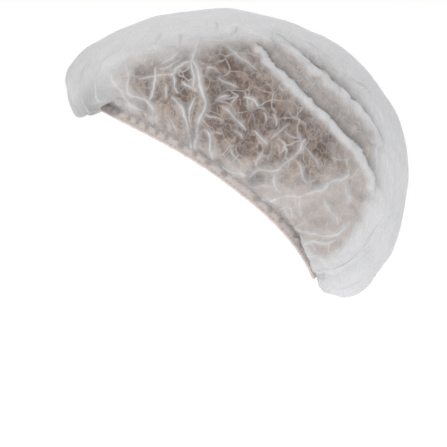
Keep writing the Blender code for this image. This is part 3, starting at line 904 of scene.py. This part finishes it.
def nonwovenMaterial():
    made, tree = newMaterial("spunbond_nonwoven")
    tight = attributeOf(tree, "tight")
    dark = attributeOf(tree, "dark")
    pleat = attributeOf(tree, "pleat")
    climb = attributeOf(tree, "climb") * 1000.0
    point = objectPoint(tree)
    cloud = noiseAt(tree, point, 70.0, 4.0, 0.6)
    patch = noiseAt(tree, point, 34.0, 2.0)
    blotch = noiseAt(tree, warpedPoint(tree, point, 60.0, 0.010), 85.0, 4.0, 0.62).between(0.36, 0.66)
    leaning = objectPoint(tree, (1.0, 1.0, 0.5), (0.9, 0, 0))
    streak = noiseAt(tree, leaning, 330.0, 2.0, 0.55, 0.5).between(0.38, 0.70)
    fibres = fibresAt(tree, nonwoven["fibreScale"], nonwoven["fibreTurns"])

    # the measured folds: a thin pale core in a wide soft halo, where the cloth stands off
    shake = (noiseAt(tree, point, 240.0, 3.0) - 0.5) * 1.3
    vary = 0.45 + 0.65 * noiseAt(tree, point, 62.0, 1.0).between(0.34, 0.60)
    fold = halo = None
    for number in range(foldLayers + 1):
        away = (attributeOf(tree, "foldSide" + str(number)) + shake).absolute()
        gate = attributeOf(tree, "foldNear" + str(number)).between(0.02, 0.60)
        core = ((1 - away.between(0.2, 1.0)) * 0.78 + (1 - away.between(0.5, 2.8)) * 0.36) * gate
        wide = (1 - away.between(0.8, 6.0)) * gate
        fold = core * vary if fold is None else fold.most(core * vary)
        halo = wide if halo is None else halo.most(wide)

    # the tucks: a pale band, cut off sharply above, with the shade of the fold beyond it
    rough = (noiseAt(tree, point, 150.0, 3.0) - 0.5) * 3.4
    over = attributeOf(tree, "tuckSide") + rough
    tucked = attributeOf(tree, "tuckNear").between(0.05, 0.5)
    band = over.between(-7.0, -2.4) * (1 - over.between(-0.4, 0.5)) * tucked
    shade = over.between(0.0, 0.9) * (1 - over.between(1.0, 7.5)) * tucked

    # finer wrinkles between them, as a net that comes and goes
    net = crackleAt(tree, warpedPoint(tree, point, 34.0, 0.020), nonwoven["netScale"], 0.055)
    net = net * patch.between(0.30, 0.72)
    fineNet = crackleAt(tree, warpedPoint(tree, point, 90.0, 0.012), nonwoven["fineNetScale"], 0.10)
    fineNet = fineNet * (1 - patch.between(0.35, 0.70))
    drawn = objectPoint(tree, (1.0, 1.0, 0.22), (-0.9, 0, 0))
    strokes = noiseAt(tree, drawn, 430.0, 2.0, 0.5, 0.8).between(0.58, 0.74)
    wrinkle = (net * 0.70).most(fineNet * 0.22).most(strokes * blotch * 0.36) * (0.22 + 0.78 * tight)
    gathered = pleat.between(0.12, 0.55) * (1 - climb.between(9.0, 26.0 + 60.0 * (1 - tight))) * 0.42
    white = fold.most(wrinkle).most(band).most(gathered).clamped()
    raised = fold.most(net * 0.70 * (0.22 + 0.78 * tight)).most(band).most(gathered)

    dots = addNode(
        tree, "ShaderNodeTexVoronoi", {"feature": "F1"},
        {"Vector": point, "Scale": nonwoven["bondScale"], "Randomness": 0.35},
    )
    bond = 1 - wire(dots).between(0.18, 0.34)
    web = cloud * 0.5 + fibres * 0.35 + bond * 0.12
    # painted shade where the cloth lies close: the colour turns darker and warmer, most in the dark zone,
    # less right at the hem and around the folds
    level = (tight * 0.74 + dark * 0.28) * (0.70 + 0.30 * climb.between(1.5, 7.0))
    closeShadeAmount = (level * (1 - 0.94 * white) * (1 - 0.20 * halo)).clamped()
    # painted shade in the valleys of the gathers near the hem
    valleyShade = (0.0 - pleat).clamped() * (1 - climb.between(12.0, 40.0))
    # the painted shade is mottled at random, and deeper in the tucks' shade and in the valleys of the gathers
    mottle = (0.33 + 0.48 * blotch + 0.36 * streak) * (0.54 + 0.72 * dark)
    mottle = (mottle + 0.5 * shade + 0.5 * valleyShade).clamped()
    close = mixColours(tree, mottle, nonwoven["closeShadePale"], nonwoven["closeShadeDeep"])
    base = mixColours(tree, closeShadeAmount, nonwoven["colour"], close)
    # denser cloth near the hem raises opacity, and together with the painted shade on the low front it greys
    # the colour
    thick = attributeOf(tree, "denseAndShaded") * (0.46 - 0.26 * tight)
    # greying: the web's random tone, with painted shade from the tucks, the valleys of the gathers and the
    # low front
    toneAndShade = (0.58 - web) * 0.35 + 0.25 * shade + 0.34 * (0.0 - pleat).clamped()
    toneAndShade = (toneAndShade + thick * (1 - white)).clamped()
    colour = mixColours(tree, toneAndShade, base, nonwoven["webToneAndShadeColour"])
    opacity = (
        nonwoven["opacity"] + nonwoven["creaseOpacity"] * white + nonwoven["closeOpacity"] * closeShadeAmount
        + 0.16 * (web - 0.4) + 0.08 * pleat + thick * 0.6
    ).clamped()
    height = raised * 0.9 + fibres * 0.10 + cloud * 0.15 - 0.5 * shade
    bump = addNode(tree, "ShaderNodeBump", None, {"Height": height, "Strength": 0.8, "Distance": 0.0009})
    glow = (nonwoven["glow"] * (1 - 0.8 * closeShadeAmount)).clamped()
    finishSheet(tree, colour, 0.62 + 0.16 * web, wire(bump), opacity, glow)
    return made


def hemMaterial():
    made, tree = newMaterial("hem_nonwoven")
    level = attributeOf(tree, "level") * 1000.0
    pleat = attributeOf(tree, "pleat")
    point = objectPoint(tree)
    cloud = noiseAt(tree, point, 160.0, 3.0)
    fibres = fibresAt(tree, nonwoven["fibreScale"], nonwoven["fibreTurns"][:3])
    edge = 1 - level.between(0.6, 1.5)
    ragged = (noiseAt(tree, point, 420.0, 2.0) - 0.5) * 1.2
    reach = (0.72 - pleat) * 11.7 + (level - 4.5) ** 2.0 + ragged * 1.6
    cell = (1 - reach.between(1.6, 6.0)) * noiseAt(tree, point, 48.0, 1.0).between(0.30, 0.52)
    celled = mixColours(tree, (cell * 0.72).clamped(), hem["colour"], hem["cellColour"])
    colour = mixColours(tree, edge * 0.85, celled, hem["edgeColour"])
    opacity = 0.72 + 0.3 * edge + 0.06 * cell + 0.16 * (cloud - 0.5)
    opacity = (opacity - 0.45 * level.between(4.4, 7.0)).clamped()
    height = fibres * 0.3 + cloud * 0.5
    bump = addNode(tree, "ShaderNodeBump", None, {"Height": height, "Strength": 0.5, "Distance": 0.0004})
    finishSheet(tree, colour, 0.62 + 0.2 * cloud, wire(bump), opacity, nonwoven["glow"])
    return made


def threadMaterial():
    made, tree = newMaterial("thread_painted_shadow")
    twist = addNode(
        tree, "ShaderNodeTexWave", {"wave_type": "BANDS", "bands_direction": "DIAGONAL"},
        {"Vector": objectPoint(tree), "Scale": 900.0, "Distortion": 1.5},
    )
    ply = Wire(tree, twist.outputs["Fac"])
    # the thread is coloured as painted shadow of the stitches, darker and lighter along its twist
    colour = mixColours(tree, ply, hem["threadShadowDark"], hem["threadShadowLight"])
    bump = addNode(tree, "ShaderNodeBump", None, {"Height": ply, "Strength": 0.6, "Distance": 0.0001})
    shader = addNode(
        tree, "ShaderNodeBsdfPrincipled", None,
        {"Base Color": colour, "Roughness": 0.5 + 0.15 * ply, "Normal": wire(bump), "Sheen Weight": 0.3},
    )
    addNode(tree, "ShaderNodeOutputMaterial", None, {"Surface": wire(shader)})
    return made


elasticBand = {
    "dark": (0.66, 0.50, 0.45, 1.0),
    "light": (0.82, 0.70, 0.66, 1.0),
    "stain": (0.60, 0.47, 0.42, 1.0),
    "ribScale": 260.0,
}


def elasticMaterial():
    made, tree = newMaterial("covered_elastic")
    point = objectPoint(tree)
    fine = noiseAt(tree, point, 900.0, 2.0)
    slow = noiseAt(tree, point, 60.0, 2.0)
    ribs = addNode(
        tree, "ShaderNodeTexWave", {"wave_type": "RINGS", "rings_direction": "Z"},
        {"Vector": point, "Scale": elasticBand["ribScale"], "Distortion": 0.6, "Detail": 1.0},
    )
    rib = Wire(tree, ribs.outputs["Fac"])
    colour = mixColours(tree, (0.35 * rib + 0.4 * fine).clamped(), elasticBand["dark"], elasticBand["light"])
    colour = mixColours(tree, (slow * 0.3).clamped(), colour, elasticBand["stain"])
    height = rib + 0.3 * fine
    bump = addNode(tree, "ShaderNodeBump", None, {"Height": height, "Strength": 0.7, "Distance": 0.0003})
    shader = addNode(
        tree, "ShaderNodeBsdfPrincipled", None,
        {"Base Color": colour, "Roughness": 0.55 + 0.2 * fine, "Normal": wire(bump), "Sheen Weight": 0.2},
    )
    addNode(tree, "ShaderNodeOutputMaterial", None, {"Surface": wire(shader)})
    return made


def setMaterial(obj, material):
    obj.data.materials.clear()
    obj.data.materials.append(material)


studio = {
    "floorDown": -0.34,
    "floorSize": 6.0,
    "cameraAway": 1.3,
    "cameraUp": 4.0,
    "lens": 149.5,
    "aim": (0.0, 0.01575, -0.01925),
    "paperGlow": 0.75,
    "skySeen": 1.0,
    "skyCast": 0.33,
    "lampAim": (0.0, 0.02, 0.02),
    "lamps": (        # name, place, size, power and tint
        ("key", (0.9, -1.1, 1.5), 0.9, 21.0, (1.0, 0.99, 0.98)),
        ("fill", (1.5, 0.9, 0.5), 1.1, 7.0, (0.98, 0.99, 1.0)),
        ("behind", (-1.5, 0.2, 0.9), 1.2, 12.0, (1.0, 1.0, 1.0)),
    ),
    "clearBounces": 8,       # light passes through this many walls of cloth at most
}


def buildStage():
    bpy.ops.object.select_all(action="DESELECT")
    bpy.ops.mesh.primitive_plane_add(size=studio["floorSize"], location=(0, 0, studio["floorDown"]))
    floor = bpy.context.object
    floor.name = "studio_floor"
    made, tree = newMaterial("studio_paper")
    grain = noiseAt(tree, objectPoint(tree), 6.0)
    shader = addNode(
        tree, "ShaderNodeBsdfPrincipled", None,
        {
            "Base Color": mixColours(tree, grain, (0.90, 0.90, 0.90, 1.0), (0.93, 0.93, 0.93, 1.0)),
            "Roughness": 0.8,
            "Emission Color": (1.0, 1.0, 1.0, 1.0),
            "Emission Strength": studio["paperGlow"],
        },
    )
    addNode(tree, "ShaderNodeOutputMaterial", None, {"Surface": wire(shader)})
    setMaterial(floor, made)

    world = bpy.data.worlds.new("studio")
    bpy.context.scene.world = world
    world.use_nodes = True
    sky = world.node_tree
    sky.nodes.clear()
    white, cool = (1.0, 1.0, 1.0, 1.0), (0.96, 0.98, 1.0, 1.0)
    seen = addNode(sky, "ShaderNodeBackground", None, {"Color": white, "Strength": studio["skySeen"]})
    cast = addNode(sky, "ShaderNodeBackground", None, {"Color": cool, "Strength": studio["skyCast"]})
    path = addNode(sky, "ShaderNodeLightPath")
    both = addNode(
        sky, "ShaderNodeMixShader", None,
        {0: Wire(sky, path.outputs["Is Camera Ray"]), 1: wire(cast), 2: wire(seen)},
    )
    addNode(sky, "ShaderNodeOutputWorld", None, {"Surface": wire(both)})

    for name, place, size, power, tint in studio["lamps"]:
        lamp = bpy.data.lights.new(name, "AREA")
        lamp.size, lamp.energy, lamp.color = size, power, tint
        obj = bpy.data.objects.new(name, lamp)
        bpy.context.scene.collection.objects.link(obj)
        obj.location = place
        obj.visible_camera = False
        way = Vector(studio["lampAim"]) - Vector(place)
        obj.rotation_euler = way.to_track_quat("-Z", "Y").to_euler()

    camera = bpy.data.cameras.new("camera")
    camera.lens = studio["lens"]
    camera.sensor_width = 36.0
    camera.clip_start = 0.01
    camera.dof.use_dof = False
    seat = bpy.data.objects.new("camera", camera)
    bpy.context.scene.collection.objects.link(seat)
    high = math.radians(studio["cameraUp"])
    aim = Vector(studio["aim"])
    seat.location = aim + Vector((math.cos(high), 0, math.sin(high))) * studio["cameraAway"]
    seat.rotation_euler = (aim - seat.location).to_track_quat("-Z", "Y").to_euler()
    bpy.context.scene.camera = seat
    bpy.context.scene.view_settings.view_transform = "Standard"
    bpy.context.scene.cycles.transparent_max_bounces = studio["clearBounces"]
    bpy.context.scene.cycles.diffuse_bounces = 2
    bpy.context.scene.cycles.transmission_bounces = 3


crownCloth = buildCrown()
setMaterial(crownCloth, nonwovenMaterial())
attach(crownCloth, "root")
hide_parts("crown")
print("crown made:", len(crownCloth.data.polygons), "faces")

hemCloth = buildHem()
setMaterial(hemCloth, hemMaterial())
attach(hemCloth, "root")
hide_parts("hem")
print("hem made:", len(hemCloth.data.polygons), "faces")

stitches = buildStitches()
setMaterial(stitches, threadMaterial())
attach(stitches, "root")
print("stitches made:", len(stitches.data.polygons), "faces")

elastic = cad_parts["elastic_band"]
setMaterial(elastic, elasticMaterial())

buildStage()
print("stage made")
